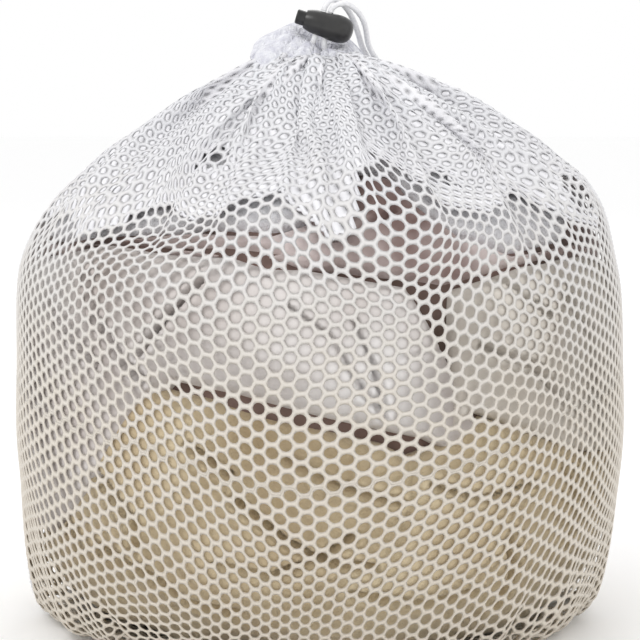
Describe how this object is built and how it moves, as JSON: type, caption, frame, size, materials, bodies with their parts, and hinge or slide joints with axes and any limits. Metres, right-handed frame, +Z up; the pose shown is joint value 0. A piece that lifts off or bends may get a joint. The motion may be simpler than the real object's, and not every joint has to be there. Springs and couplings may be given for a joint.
{
  "type": "mesh laundry bag",
  "caption": "Round-holed mesh laundry bag, filled with folded laundry and drawn shut by a drawstring with a spring cord lock.",
  "frame": {"origin": "centre of the base, on the surface that the bag stands on", "axes": "+Z up, +X to the right seen from the front, +Y from the front to the back"},
  "size_m": [0.2628, 0.296, 0.2708],
  "materials": {
    "white_net": "knitted white polyester net with round holes, slightly glossy yarn",
    "seam_tape": "overlocked white polyester seam",
    "hem_tape": "gathered white polyester hem",
    "drawstring": "braided white polyester cord",
    "cream_knit": "ribbed cream knit",
    "white_cotton": "white woven cotton",
    "cream_cotton": "off-white cotton jersey",
    "dusty_pink": "dusty pink woven cloth",
    "white_terry": "white towelling",
    "mauve_brown": "brown woven scarf",
    "lock_plastic": "moulded black plastic, glossy",
    "plunger_plastic": "moulded black plastic, glossy",
    "spring_steel": "drawn spring wire"
  },
  "bodies": {
    "bag": {"net_front": "white_net", "net_back": "white_net", "side_seam_left": "seam_tape", "side_seam_right": "seam_tape", "bottom_seam": "seam_tape", "hem_casing": "hem_tape", "drawstring_loop": "drawstring", "cord_tail_a": "drawstring", "cord_tail_b": "drawstring", "end_knot": "drawstring", "knit_jumper": "cream_knit", "white_shirt": "white_cotton", "cream_vest": "cream_cotton", "pink_blouse": "dusty_pink", "white_towel": "white_terry", "brown_scarf": "mauve_brown"},
    "lock": {"lock_barrel": "lock_plastic", "lock_spring": "spring_steel"},
    "button": {"lock_plunger": "plunger_plastic"}
  },
  "joints": [
    {"name": "lock_slide", "type": "slide", "parent": "bag", "child": "lock", "axis": [0.2924, 0, 0.9563], "range_m": [0, 0.008], "deforming": ["cord_tail_a", "cord_tail_b"]},
    {"name": "button_press", "type": "slide", "parent": "lock", "child": "button", "axis": [0.9563, 0, -0.2924], "range_m": [0, 0.0034], "stiffness_N_per_m": 400, "springref_m": -0.004, "deforming": ["lock_spring"]}
  ]
}
